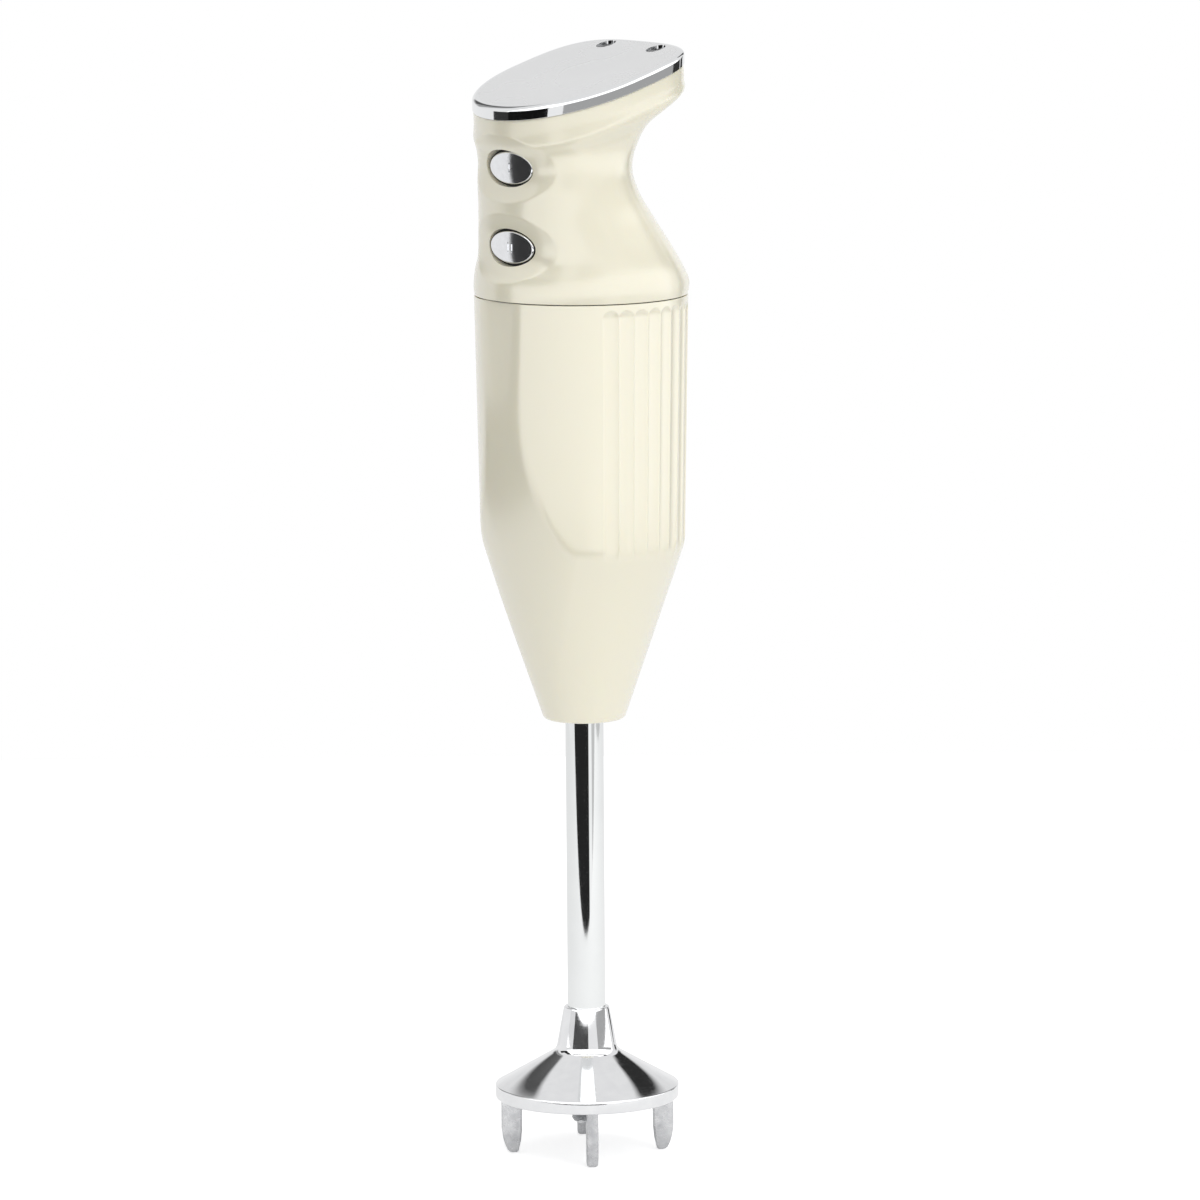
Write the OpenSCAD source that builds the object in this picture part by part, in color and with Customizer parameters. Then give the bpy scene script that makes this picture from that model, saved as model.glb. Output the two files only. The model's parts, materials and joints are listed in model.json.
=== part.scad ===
// Cordless immersion blender. Millimetres. The origin is on the drive axis, at the tips of
// the guard's legs. +Z runs up the shaft and -Y points out of the buttons.

/* [Overall] */
// height of the grip's lower end above the leg tips
grip_z = 135.7; // [132:0.1:140]
// height of the seam between the two housings
seam_z = 266.6; // [262:0.1:270]
// height of the top plate's upper face on the axis
plate_z = 334.8; // [333:0.1:337]
// slope of the top plate, lower at the front
plate_tilt = 16.2; // [12:0.1:18]

/* [Motor housing] */
// radius at the lower end
grip_r0 = 12.4; // [12:0.1:14]
// radius where the cone meets the cylinder
grip_r1 = 31.2; // [30.5:0.1:32]
// radius at the seam
grip_r2 = 32.6; // [32.2:0.1:33.2]
// height where the cone meets the cylinder
crease_z = 190.3; // [187:0.1:194]
// wall thickness
wall = 2.3; // [2:0.1:2.6]
// distance of the flat front strip from the axis
strip_y = 31.3; // [30.8:0.1:32]
// depth of the strip's hollow curve where it passes the crease
strip_dip = 3.8; // [1:0.1:4]
// how far the hollow curve runs above and below the crease
strip_run = 46; // [40:1:50]
// number of flutes on each side of the back
flutes = 13; // [8:1:14]
// angle between flutes
flute_pitch = 9; // [8:0.1:9.2]
// depth of a flute
flute_depth = 0.5; // [0.3:0.05:0.7]

/* [Buttons] */
// height of the lower button
button_z = 282.5; // [281:0.1:284]
// distance between the buttons
button_gap = 24; // [23:0.1:25]
// half width and half height of a button
button_a = [10.4, 4.9];
// half width and half height of an opening in the head
opening_a = [11.3, 5.7];
// distance of a button's face from the axis
button_y = 27.4; // [27:0.1:27.8]
// how far a button goes in
button_travel = 1.2; // [0.8:0.1:1.3]
// depth of the scoop round a button
scoop_depth = 3.1; // [2.4:0.1:3.2]

/* [Shaft and guard] */
// outer radius of the tube
tube_r = 5.85; // [5.7:0.05:6]
// radius of the drive shaft
shaft_r = 2.5; // [2.3:0.05:2.6]
// running clearance round the drive shaft
run = 0.05; // [0.02:0.01:0.09]
// radius of the bell's rim
bell_r = 28.3; // [27:0.1:29]
// heights of the rim's lower and upper edge
rim_z = [17.3, 21.4];
// height of the guard's collar
collar_z = 45.7; // [44:0.1:48]
// angle of the legs about the shaft
leg_turn = 55; // [0:1:89]
// thickness of a leg
leg_t = 3.5; // [3:0.1:4.4]
// radius of the circle that the blade's tips make
blade_r = 18; // [15:0.1:18.5]

/* [Power] */
// radius and length of a battery cell
cell = [9, 50];
// radius of the motor's can
can_r = 18.5; // [17:0.1:18.8]
// radius of the armature
core_r = 12.8; // [12:0.1:12.9]

/* [Hidden] */
$fn = 64;

CREAM = [0.9, 0.88, 0.79];
CHROME = [0.8, 0.81, 0.82];
STEEL = [0.6, 0.61, 0.62];
ALLOY = [0.74, 0.74, 0.75];
BLACK = [0.08, 0.08, 0.08];
GREEN = [0.1, 0.35, 0.2];
COPPER = [0.75, 0.42, 0.22];
BRASS = [0.8, 0.66, 0.35];
GREY = [0.35, 0.36, 0.38];
BLUE = [0.15, 0.3, 0.55];
RED = [0.6, 0.1, 0.08];

slope = (grip_r1 - grip_r0) / (crease_z - grip_z);   // of the cone
floor_t = 3.5;                                       // thickness of the motor housing's lower end
seam_gap = 0.3;                                      // between the housings, filled by the gasket's lip
plate_t = 4;                                         // thickness of the plate's band
button_hs = [button_z + button_gap, button_z];
cap_t = 3.8;                                         // from a button's face to its flange
flange_t = 1;
flange_y = -button_y + cap_t;                        // front of a button's flange at rest
back_y = flange_y + flange_t;                        // back of a button at rest
collar_y = -25.8;                                    // front of the collar round a button
board_y = -17.6;                                     // front face of the control board
board_t = 1.6;
post_x = 12;                                         // the board's two posts
post_z = button_z + button_gap / 2;
spring_x = 7.5;
cell_z = 224;
cell_c = 10.5;                                       // radius of the cells' centres
can_z = [165, 214];
cradle_r = 27;                                       // inside the hollow of the front strip
cap_z = 220;                                         // top of the motor's end cap
coupling_z = 152.3;                                  // middle plane of the coupling's jaws, lower end
tube_z = [30, 147];
blade_z = 14;
pin_z = 20.5;
contact_x = 12;
contact_y = 20;

// ---- shared shapes

// a ring, or a disc when r_in is 0
module ring(r_out, r_in, z0, z1) {
    translate([0, 0, z0])
        difference() {
            cylinder(r = r_out, h = z1 - z0);
            if (r_in > 0)
                translate([0, 0, -1])
                    cylinder(r = r_in, h = z1 - z0 + 2);
        }
}

// a round rod between two points
module rod(a, b, r) {
    v = b - a;
    len = norm(v);
    translate(a)
        rotate([0, acos(v[2] / len), atan2(v[1], v[0])])
            cylinder(r = r, h = len, $fn = 24);
}

// a wire through a list of points, with a ball at each bend
module wire(points, r) {
    for (i = [0 : len(points) - 2])
        rod(points[i], points[i + 1], r);
    for (i = [1 : len(points) - 2])
        translate(points[i])
            sphere(r = 1.27 * r, $fn = 24);
}

// an oval prism along Y, from y0 to y1
module oval(a, y0, y1, z) {
    pts = [for (t = [0 : 7.5 : 359]) [a[0] * cos(t), a[1] * sin(t)]];
    translate([0, y1, z])
        rotate([90, 0, 0])
            linear_extrude(y1 - y0)
                polygon(pts);
}

// a solid through rings of equal length, closed with a flat face at each end
module loft(rings) {
    m = len(rings[0]);
    n = len(rings);
    sides = [for (i = [0 : n - 2], j = [0 : m - 1])
        let (a = i * m + j, b = i * m + (j + 1) % m)
        each [[a, a + m, b], [b, a + m, b + m]]];
    ends = [[for (j = [0 : m - 1]) j], [for (j = [m - 1 : -1 : 0]) (n - 1) * m + j]];
    polyhedron([for (r = rings) each r], concat(sides, ends), convexity = 4);
}

// ---- the head's surface: a loft through stations up the head

// sign-keeping power, for superellipses
function spow(v, p) = sign(v) * pow(abs(v), p);

// Each station: height on the axis, tilt, centre, half width, reach to the front, reach to the
// back, squareness in front, squareness behind.
STATIONS = [
    [seam_z, 0, 0, 32.6, 32.6, 32.6, 2, 2],
    [270, 1, 0, 33, 32.6, 33, 2, 2],
    [274.5, 2, 0, 33, 32, 29.8, 2, 2],
    [280.5, 4, -1, 32, 29.2, 25.8, 2.05, 2],
    [288.5, 6.5, -3.5, 29.6, 26.5, 22.3, 2.15, 2],
    [297, 8.5, -6.5, 27, 23.4, 20.2, 2.3, 2],
    [304.5, 10, -8, 25.6, 22, 19.6, 2.45, 2],
    [311.5, 11.5, -6.5, 25.6, 23.8, 19.4, 2.45, 2.1],
    [317.5, 13.5, -4, 26.8, 27.2, 20.6, 2.35, 2.4],
    [322, 15.4, -2, 29.3, 30.3, 28.4, 2.2, 3.2],
    [326, 16.2, -1, 29.9, 31.6, 27.3, 2.1, 3.3],
    [plate_z - plate_t - 0.15, plate_tilt, -1, 30.1, 31.7, 26.6, 2.1, 3.4]];
PLATE = [-1, 30.3, 31.9, 26.8, 2.1, 3.4];            // centre to squareness, as in a station

function spline(a, b, c, d, f) =
    0.5 * (2 * b + (c - a) * f + (2 * a - 5 * b + 4 * c - d) * f * f + (3 * b - a - 3 * c + d) * f * f * f);

// the station at u, from 0 at the seam to 1 under the plate
function station(u) =
    let (n = len(STATIONS) - 1, x = u * n, i = min(floor(x), n - 1))
    spline(STATIONS[max(i - 1, 0)], STATIONS[i], STATIONS[i + 1], STATIONS[min(i + 2, n)], x - i);

// a point of an outline in plan: c is [centre, half width, front, back, squareness, squareness]
function outline(c, inset, t) =
    let (front = cos(t) > 0, p = 2 / (front ? c[4] : c[5]), reach = front ? -c[2] + inset : c[3] - inset)
    [(c[1] - inset) * spow(sin(t), p), c[0] + reach * pow(abs(cos(t)), p)];

function scoop(x, y, z) =
    y > -15 ? 0 : max([for (h = button_hs)
        let (q = pow(x / 19.5, 2) + pow((z - h) / 10.5, 2)) q < 1 ? scoop_depth * pow(1 - q, 1.2) : 0]);

function head_point(s, inset, t) =
    let (p = outline([for (i = [2 : 7]) s[i]], inset, t), z = s[0] + p[1] * tan(s[1]))
    [p[0], p[1] + (inset > 0 ? 1.35 : 1) * scoop(p[0], p[1], z), z];

head_steps = 26;
head_round = 60;

module head_shell() {
    rings = concat(
        [for (i = [0 : head_steps]) [for (j = [0 : head_round - 1])
            head_point(station(i / head_steps), 0, 360 * (j + 0.5) / head_round)]],
        [for (i = [head_steps : -1 : 0]) [for (j = [0 : head_round - 1])
            head_point(station(i / head_steps), wall + 0.1, 360 * (j + 0.5) / head_round)]]);
    n = len(rings);
    m = head_round;
    points = [for (r = rings) each r];
    faces = [for (i = [0 : n - 1], j = [0 : m - 1])
        let (k = (j + 1) % m, up = (i + 1) % n, a = i * m + j, b = i * m + k, c = up * m + j, d = up * m + k)
        each [[a, c, b], [b, c, d]]];
    polyhedron(points, faces, convexity = 8);
}

// ---- housings and plate

// distance of the front strip from the axis: straight above and below, hollow at the crease
function strip_edge(z) =
    let (d = abs(z - crease_z) / strip_run) strip_y - (d < 1 ? strip_dip * pow(1 - d, 2) : 0);

// everything in front of the strip, moved back by `inset`
module strip_cutter(inset) {
    zs = [for (i = [-8 : 8]) crease_z + strip_run * i / 8];
    rotate([90, 0, 90])
        translate([0, 0, -40])
            linear_extrude(80)
                polygon(concat([[-60, zs[0] - 1], [inset - strip_y, zs[0] - 1]],
                    [for (z = zs) [inset - strip_edge(z), z]],
                    [[inset - strip_y, seam_z + 5], [-60, seam_z + 5]]));
}

module motor_housing() {
    top = seam_z - seam_gap;
    draft = atan((grip_r2 - grip_r1) / (top - crease_z));
    flute_r = 5.6;
    bore_r = tube_r + 0.05;
    color(CREAM)
        difference() {
            rotate_extrude($fn = 180)
                polygon([[0, grip_z], [grip_r0 - 1, grip_z], [grip_r0 - 0.3, grip_z + 0.3],
                    [grip_r0 + 0.35, grip_z + 1], [grip_r1, crease_z], [grip_r2, top], [0, top]]);
            strip_cutter(0);
            difference() {
                rotate_extrude($fn = 180)
                    polygon([[0, grip_z + floor_t],
                        [grip_r0 - wall - 0.15 + slope * floor_t, grip_z + floor_t], [grip_r1 - wall, crease_z], [grip_r2 - wall, top + 0.01], [grip_r2 - wall, top + 1],
                        [0, top + 1]]);
                strip_cutter(wall);
            }
            ring(bore_r, 0, grip_z - 1, grip_z + floor_t + 1);
            for (i = [0 : flutes - 1], side = [-1, 1])
                rotate([0, 0, 90 + side * (flute_pitch / 2 + i * flute_pitch)])
                    translate([grip_r1 - flute_depth + flute_r, 0, crease_z])
                        rotate([0, draft, 0])
                            translate([0, 0, 0.6])
                                cylinder(r = flute_r, h = top - crease_z - 4, $fn = 48);
        }
}

module head_housing() {
    spigot = grip_r2 - wall - 0.25;
    color(CREAM)
        difference() {
            union() {
                head_shell();
                difference() {
                    ring(spigot, spigot - 1.6, seam_z - 4.5, seam_z + 0.5);
                    strip_cutter(wall + 0.25);
                }
                ring(spigot + 1, spigot - 1.6, seam_z + 0.4, seam_z + 3);
                for (h = button_hs)
                    oval([opening_a[0] + 1.6, opening_a[1] + 1.6], collar_y, back_y + 0.4, h);
                for (x = [-post_x, post_x])
                    rod([x, -26.2, post_z], [x, board_y, post_z], 2.6);
            }
            for (h = button_hs) {
                oval(opening_a, -40, back_y + 1, h);
                oval([opening_a[0] + 0.7, opening_a[1] + 0.7], flange_y - 0.1, back_y + 1, h);
            }
        }
}

module seam_gasket() {
    color(BLACK)
        ring(grip_r2 - wall + 1.4, grip_r2 - wall - 0.2, seam_z - seam_gap + 0.02, seam_z - 0.02);
}

// the plate's outline, inset, in its sloping plane and dz above its upper face
function plate_ring(inset, dz) =
    [for (t = [2.5 : 5 : 359])
        let (p = outline(PLATE, inset, t)) [p[0], p[1], plate_z + dz + p[1] * tan(plate_tilt)]];

module top_plate() {
    color(CHROME)
        difference() {
            loft([plate_ring(wall + 0.5, -plate_t - 1.8), plate_ring(wall + 0.5, -plate_t),
                plate_ring(0, -plate_t), plate_ring(0, -1.1), plate_ring(1.6, 0)]);
            for (x = [-contact_x, contact_x])
                translate([x, contact_y, plate_z - 20])
                    cylinder(r = 3, h = 50);
        }
}

// ---- buttons

module button(h) {
    difference() {
        union() {
            oval(button_a, -button_y, flange_y, h);
            oval([opening_a[0] + 0.3, opening_a[1] + 0.3], flange_y, back_y, h);
        }
        for (x = [-spring_x, spring_x])
            rod([x, back_y - 0.5, h], [x, back_y + 1, h], 2.4);
    }
}

module mark(x, h) {
    translate([x - 0.35, -button_y - 0.5, h - 1.6])
        cube([0.7, 0.8, 3.2]);
}

module upper_button() {
    color(CHROME)
        difference() {
            button(button_hs[0]);
            mark(0, button_hs[0]);
        }
}

module lower_button() {
    color(CHROME)
        difference() {
            button(button_hs[1]);
            mark(-0.9, button_hs[1]);
            mark(0.9, button_hs[1]);
        }
}

// lines the opening in the head, clear of the button
module button_gasket(h) {
    color(BLACK)
        difference() {
            oval([opening_a[0] - 0.02, opening_a[1] - 0.02], collar_y, flange_y - 0.15, h);
            oval([button_a[0] + 0.25, button_a[1] + 0.25], -button_y - 1, flange_y + 1, h);
        }
}

module upper_gasket() {
    button_gasket(button_hs[0]);
}

module lower_gasket() {
    button_gasket(button_hs[1]);
}

// two coil springs between a button and the board, swept with a square wire
module button_springs(h) {
    turns = 3;
    steps = 12;
    mean_r = 1.6;
    wire_r = 0.28;
    y0 = back_y - 0.45 + wire_r;
    y1 = board_y - 0.02 - wire_r;
    n = turns * steps;
    pts = [for (i = [0 : n], k = [0 : 3])
        let (t = 360 * i / steps, r = mean_r + wire_r * cos(90 * k))
        [r * cos(t), y0 + (y1 - y0) * i / n + wire_r * sin(90 * k), r * sin(t)]];
    sides = [for (i = [0 : n - 1], k = [0 : 3])
        let (a = 4 * i + k, b = 4 * i + (k + 1) % 4)
        each [[a, a + 4, b], [b, a + 4, b + 4]]];
    ends = [[0, 1, 2], [0, 2, 3], [4 * n, 4 * n + 2, 4 * n + 1], [4 * n, 4 * n + 3, 4 * n + 2]];
    color(STEEL)
        for (x = [-spring_x, spring_x])
            translate([x, 0, h])
                polyhedron(pts, concat(sides, ends), convexity = 6);
}

module upper_springs() {
    button_springs(button_hs[0]);
}

module lower_springs() {
    button_springs(button_hs[1]);
}

// ---- electronics and power

module control_board() {
    color(GREEN)
        difference() {
            translate([-16, board_y, button_z - 5.6])
                cube([32, board_t, button_gap + 13.1]);
            for (x = [-post_x, post_x])
                rod([x, board_y - 1, post_z], [x, board_y + 3, post_z], 1.35);
        }
}

module button_switches() {
    color(BLACK)
        for (h = button_hs) {
            translate([-3, board_y - 3, h - 3])
                cube([6, 3, 6]);
            rod([0, board_y - 2.9, h], [0, back_y + button_travel + 0.15, h], 1.6);
        }
}

module board_screws() {
    color(STEEL)
        for (x = [-post_x, post_x]) {
            rod([x, board_y, post_z], [x, board_y + board_t + 0.1, post_z], 1.25);
            rod([x, board_y + board_t + 0.02, post_z], [x, board_y + board_t + 1.8, post_z], 2.3);
        }
}

contact_z = plate_z + contact_y * tan(plate_tilt);

module contact_sleeves() {
    color(BLACK)
        for (x = [-contact_x, contact_x])
            translate([x, contact_y, contact_z])
                difference() {
                    union() {
                        ring(2.97, 0, -3, -0.9);
                        ring(2.5, 0, -8.4, -2.9);
                    }
                    ring(1.45, 0, -12, 1);
                }
}

module charge_contacts() {
    color(BRASS)
        for (x = [-contact_x, contact_x])
            translate([x, contact_y, contact_z])
                union() {
                    ring(1.42, 0, -10.4, -2.2);
                    ring(2.2, 0, -10.6, -8.6);
                }
}

module charge_leads() {
    color(RED)
        for (s = [-1, 1])
            wire([[s * contact_x, contact_y, contact_z - 10.65], [s * contact_x, contact_y, contact_z - 12],
                [s * 11, 9, 323], [s * 11, 4, 312], [s * 9, 2, 296], [s * 9, 4, cell_z + cell[1] + 3.2]], 0.8);
}

module motor_leads() {
    color(BLUE)
        for (s = [-1, 1])
            wire([[s * 14, -6, cap_z - 1.1], [s * 21.5, -9, cap_z - 1.1], [s * 21.5, -9, cell_z + cell[1] + 3.4],
                [s * 14.5, -12, cell_z + cell[1] + 5.8], [s * 14, board_y + board_t + 0.9, button_z - 1]], 0.8);
}

module battery_cell(i) {
    a = 90 + 120 * i;
    color(BLUE)
        translate([cell_c * cos(a), cell_c * sin(a), cell_z])
            union() {
                cylinder(r = cell[0], h = cell[1] - 1);
                cylinder(r = 2.8, h = cell[1]);
            }
}

module battery_cell_1() {
    battery_cell(0);
}

module battery_cell_2() {
    battery_cell(1);
}

module battery_cell_3() {
    battery_cell(2);
}

// a tray under the cells and a plate over them, joined by a middle post
module battery_holder() {
    color(GREY)
        difference() {
            union() {
                ring(28.4, 0, cap_z + 1.4, cell_z - 0.7);
                ring(20.5, 0, cell_z + cell[1] + 0.6, cell_z + cell[1] + 2.6);
                ring(1.35, 0, cell_z - 1, cell_z + cell[1] + 1);
            }
            for (s = [-1, 1]) {
                translate([s * 21.5, -9, cap_z])
                    cylinder(r = 1.8, h = 60);
                translate([s * 9, 4, cell_z + cell[1]])
                    cylinder(r = 1.6, h = 10);
            }
        }
}

// flat strips that join the cells' ends
module cell_straps() {
    color(STEEL)
        for (z = [cell_z - 0.4, cell_z + cell[1] + 0.1])
            intersection() {
                difference() {
                    translate([0, 0, z])
                        cylinder(r = cell_c + 2.5, h = 0.3);
                    translate([0, 0, z - 1])
                        cylinder(r = cell_c - 2.5, h = 3);
                }
                rotate([0, 0, z < cell_z ? 90 : 210])
                    translate([-8, 0, z - 1])
                        cube([30, 30, 3]);
            }
}

// ---- motor

module motor_cradle() {
    color(GREY)
        difference() {
            ring(cradle_r, can_r + 0.05, 205, 210);
            for (a = [0 : 60 : 359])
                rotate([0, 0, a])
                    translate([23, 0, 200])
                        cylinder(r = 2.9, h = 15);
        }
}

module motor_mount() {
    r_top = grip_r0 - wall - 0.25 + slope * (can_z[0] - grip_z);
    color(GREY)
        difference() {
            translate([0, 0, can_z[0] - 3])
                cylinder(r1 = r_top - 3 * slope - 0.2, r2 = r_top - 0.2, h = 3);
            ring(7, 0, 150, 180);
            for (a = [0, 180])
                rotate([0, 0, a])
                    translate([12, 0, 150])
                        cylinder(r = 1.6, h = 30);
        }
}

module motor_screws() {
    color(STEEL)
        for (a = [0, 180])
            rotate([0, 0, a])
                translate([12, 0, 0])
                    union() {
                        ring(1.5, 0, can_z[0] - 3.1, can_z[0] + 1.5);
                        ring(2.7, 0, can_z[0] - 4.9, can_z[0] - 3.05);
                    }
}

module motor_can() {
    color(STEEL)
        difference() {
            ring(can_r, 0, can_z[0] + 0.02, can_z[1]);
            ring(can_r - 1.5, 0, can_z[0] + 1.6, can_z[1] + 1);
            ring(6.52, 0, can_z[0] - 1, can_z[0] + 3);
            for (a = [0, 180])
                rotate([0, 0, a])
                    translate([12, 0, can_z[0] - 1])
                        cylinder(r = 1.52, h = 4);
        }
}

module motor_magnets() {
    color(BLACK)
        intersection() {
            ring(can_r - 1.55, core_r + 0.6, 170, 204);
            union() {
                translate([-30, -9, 160])
                    cube([60, 18, 60]);
            }
        }
}

module motor_end_cap() {
    color(BLACK)
        difference() {
            union() {
                ring(can_r, 0, can_z[1] + 0.05, cap_z);
                ring(can_r - 1.6, 13.2, can_z[1] - 5, can_z[1] + 1);
            }
            ring(4.2, 0, can_z[1] - 1, can_z[1] + 2.2);
            ring(5.52, 0, can_z[1] + 1.5, cap_z + 1);
            for (s = [-1, 1])                        // grooves for the leads
                translate([s * 14, -6, cap_z - 2])
                    rotate([0, 0, s > 0 ? -21.8 : 201.8])
                        translate([-0.1, -0.95, 0])
                            cube([9, 1.9, 3]);
        }
}

module motor_brushes() {
    color(GREY)
        for (s = [-1, 1])
            translate([s * 9.1 - 3.9, -1.8, 208.8])
                cube([7.8, 3.6, 3.6]);
}

module bearing(r_out, z0, z1) {
    color(STEEL)
        difference() {
            ring(r_out, shaft_r + run, z0, z1);
            for (z = [z0 - 0.1, z1 - 0.3])
                ring(r_out - 1.1, shaft_r + 0.9, z, z + 0.4);
        }
}

module lower_bearing() {
    bearing(6.5, can_z[0] - 2.6, can_z[0] + 1.6);
}

module upper_bearing() {
    bearing(5.5, can_z[1] + 2.25, can_z[1] + 5.8);
}

module armature_shaft() {
    color(STEEL)
        ring(shaft_r, 0, coupling_z + 5, cap_z - 0.3);
}

module slots(r) {
    for (a = [0 : 72 : 359])
        rotate([0, 0, a])
            translate([8.6, 0, 150])
                cylinder(r = r, h = 80, $fn = 32);
}

module armature_core() {
    color(STEEL)
        difference() {
            ring(core_r, shaft_r, 172, 202);
            slots(2.5);
            for (a = [0 : 72 : 359])
                rotate([0, 0, a])
                    translate([8.6, -0.6, 150])
                        cube([10, 1.2, 80]);
        }
}

module armature_windings() {
    color(COPPER)
        union() {
            intersection() {
                slots(2.42);
                ring(core_r, 0, 170, 204);
            }
            ring(11.3, 5.8, 168.4, 171.7);
            ring(11.3, 5.8, 202.3, 205.4);
        }
}

module commutator() {
    color(COPPER)
        difference() {
            ring(5, shaft_r, 206.4, 213);
            for (a = [0 : 72 : 359])
                rotate([0, 0, a])
                    translate([3.8, -0.25, 206])
                        cube([3, 0.5, 8]);
        }
}

// ---- coupling and drive

// four sectors of a ring; each is `width` degrees wide and the first is at `turn`
module sectors(count, turn, width, r_out, r_in, z0, z1) {
    for (i = [0 : count - 1])
        rotate([0, 0, turn + i * 360 / count])
            intersection() {
                ring(r_out, r_in, z0, z1);
                translate([0, 0, z0 - 1])
                    linear_extrude(z1 - z0 + 2)
                        polygon([[0, 0], [20, -20 * tan(width / 2)], [20, 20 * tan(width / 2)]]);
            }
}

module coupling_upper() {
    color(STEEL)
        union() {
            ring(6.4, shaft_r, coupling_z + 4.4, coupling_z + 9.4);
            sectors(2, 0, 50, 6.4, 3.4, coupling_z + 0.4, coupling_z + 5);
        }
}

module coupling_spider() {
    color(RED)
        union() {
            sectors(4, 45, 32, 6.3, 2.2, coupling_z + 0.4, coupling_z + 3.9);
            ring(2.9, 0, coupling_z + 0.4, coupling_z + 3.9);
        }
}

module coupling_lower() {
    color(STEEL)
        union() {
            ring(6.4, shaft_r, coupling_z - 4, coupling_z);
            sectors(2, 90, 50, 6.4, 3.4, coupling_z - 1, coupling_z + 4);
        }
}

module drive_shaft() {
    color(STEEL)
        difference() {
            ring(shaft_r, 0, 13.3, coupling_z - 0.1);
            rod([-5, 0, pin_z], [5, 0, pin_z], 0.8);
        }
}

module drive_pin() {
    color(STEEL)
        rod([-3.8, 0, pin_z], [3.8, 0, pin_z], 0.8);
}

module shaft_clip() {
    color(STEEL)
        ring(4.2, shaft_r, tube_z[1] + 0.15, tube_z[1] + 0.95);
}

module tube_nut() {
    color(BRASS)
        difference() {
            translate([0, 0, grip_z + floor_t + 0.05])
                cylinder(r = 10.2, h = 4.5, $fn = 6);
            ring(tube_r + 0.02, 0, grip_z, grip_z + 20);
        }
}

module upper_bush() {
    color(BRASS)
        ring(tube_r - 1.02, shaft_r + run, tube_z[1] - 10, tube_z[1] - 0.1);
}

module lower_bush() {
    color(BRASS)
        ring(tube_r - 1.02, shaft_r + run, tube_z[0] + 1, tube_z[0] + 9);
}

module shaft_seal() {
    color(BLACK)
        ring(4.86, shaft_r + run, tube_z[0] - 4.2, tube_z[0] - 0.2);
}

module shaft_tube() {
    color(CHROME)
        ring(tube_r, tube_r - 1, tube_z[0], tube_z[1]);
}

// ---- guard and blade

module guard_leg() {
    leg_r = [20.1, 26.6];
    tip_r = [21.4, 24.4];
    rotate([90, 0, 0])
        translate([0, 0, -leg_t / 2])
            linear_extrude(leg_t)
                union() {
                    polygon([[leg_r[0], rim_z[0] + 3.6], [leg_r[0] + 0.2, 7], [tip_r[0], 0.4], [tip_r[0] + 0.4, 0],
                        [tip_r[1] - 0.6, 0], [tip_r[1] + 0.2, 0.6], [leg_r[1] - 0.9, 2.9], [leg_r[1] - 0.3, 4.6],
                        [leg_r[1], 7], [leg_r[1], rim_z[0] + 3.6]]);
                }
}

module guard() {
    cone = [10.2, 31.8];
    bell_t = 2;
    color(ALLOY)
        union() {
            rotate_extrude($fn = 128)
                polygon([[3.6, 23], [8, 23], [8, 30.6], [bell_r - 1.9, rim_z[1] - bell_t + 1.1],
                    [bell_r - 1.7, rim_z[0]], [bell_r - 0.2, rim_z[0]], [bell_r, rim_z[0] + 0.2],
                    [bell_r, rim_z[1] - 0.3], [bell_r - 0.3, rim_z[1]], [cone[0], cone[1]], [9.5, 32.6],
                    [9.15, 34], [7.1, collar_z - 0.5], [6.8, collar_z - 0.1], [6.5, collar_z],
                    [tube_r + 0.03, collar_z], [tube_r + 0.03, tube_z[0]], [4.9, tube_z[0]],
                    [4.9, tube_z[0] - 4.5], [3.6, tube_z[0] - 4.5]]);
            for (i = [0 : 3])
                rotate([0, 0, leg_turn + 90 * i])
                    guard_leg();
        }
}

module blade_hub() {
    color(STEEL)
        difference() {
            ring(4.2, 0, 12, 22.6);
            ring(shaft_r + run, 0, 13, 23);
            translate([-6, -1, pin_z - 1])
                cube([12, 2, 5]);
        }
}

module blade() {
    t = 1.2;
    flat_r = 10.5;
    reach = blade_r - flat_r - 0.1;
    tip = [[-0.6, -3.2], [0.6 * reach, -3.2], [reach - 0.4, -1], [reach, 0.6], [reach - 0.8, 2.2],
        [0.6 * reach, 3.2], [-0.6, 3.2]];
    bends = [-32, 14, -32, 14];
    color(STEEL)
        difference() {
            translate([0, 0, blade_z])
                union() {
                    linear_extrude(t)
                        for (a = [45, 135])
                            rotate(a)
                                square([2 * flat_r, 6.8], center = true);
                    for (i = [0 : 3])
                        rotate([0, 0, 90 * i + 45])
                            translate([flat_r, 0, t / 2])
                                rotate([0, bends[i], 0])
                                    translate([0, 0, -0.48])
                                        linear_extrude(0.96)
                                            polygon(tip);
                }
            ring(4.22, 0, 10, 25);
        }
}

motor_housing();
head_housing();
top_plate();
seam_gasket();
upper_button();
lower_button();
upper_gasket();
lower_gasket();
upper_springs();
lower_springs();
control_board();
button_switches();
board_screws();
contact_sleeves();
charge_contacts();
charge_leads();
motor_leads();
battery_cell_1();
battery_cell_2();
battery_cell_3();
battery_holder();
cell_straps();
motor_cradle();
motor_mount();
motor_screws();
motor_can();
motor_magnets();
motor_end_cap();
motor_brushes();
lower_bearing();
upper_bearing();
armature_shaft();
armature_core();
armature_windings();
commutator();
coupling_upper();
coupling_spider();
coupling_lower();
drive_shaft();
drive_pin();
shaft_clip();
tube_nut();
upper_bush();
lower_bush();
shaft_seal();
shaft_tube();
guard();
blade_hub();
blade();
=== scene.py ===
"""Looks of a cordless immersion blender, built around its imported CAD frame.

Shape values are in millimetres, as in the part's source, and become metres in `point`. The studio's
values, at the end, are in metres.
Angles about the shaft are in degrees, and `front` is -Y, where the buttons are.
"""

import json
import math

import bmesh
import bpy
from mathutils import Matrix, Vector

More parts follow.
